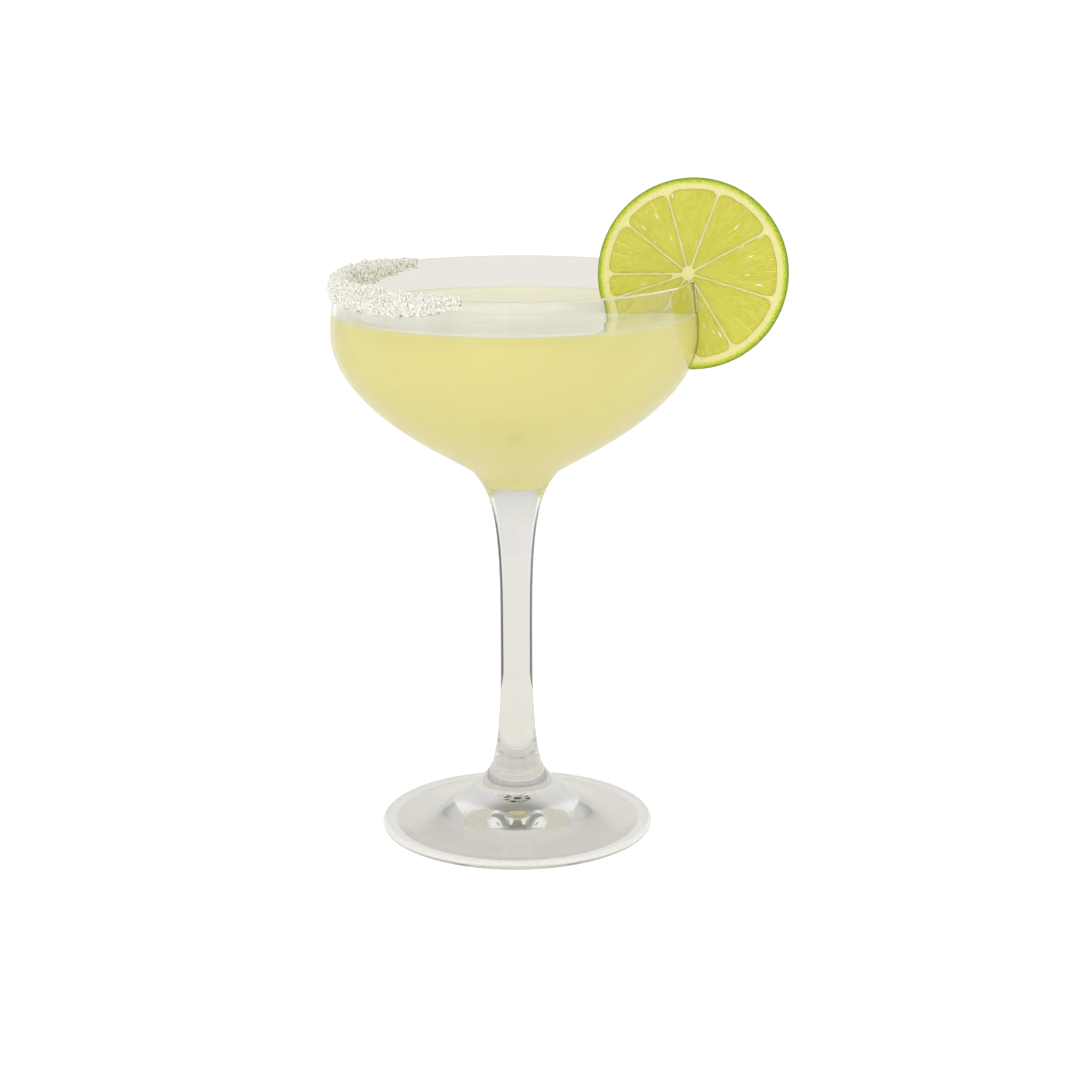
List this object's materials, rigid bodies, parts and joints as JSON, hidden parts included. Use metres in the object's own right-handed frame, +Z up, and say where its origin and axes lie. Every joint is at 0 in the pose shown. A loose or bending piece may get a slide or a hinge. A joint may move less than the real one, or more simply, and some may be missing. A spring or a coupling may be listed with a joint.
{
  "type": "margarita cocktail",
  "caption": "Stemmed coupe glass filled with a cloudy pale yellow drink, part of its rim crusted with salt, and a lime wheel slotted over the rim.",
  "frame": {"origin": "on the glass's axis, in the plane that the foot stands on", "axes": "+Z up along the stem; +X towards the lime wheel; -Y towards the wheel's cut face"},
  "size_m": [0.1266, 0.1028, 0.1876],
  "materials": {
    "glass": "clear, polished",
    "drink": "cloudy pale yellow liquid",
    "salt": "coarse crystals",
    "lime": "moist cut fruit with a green rind"
  },
  "bodies": {
    "root": {"glass": "glass", "drink": "drink", "salt_rim": "salt", "lime_wheel": "lime"}
  },
  "joints": []
}
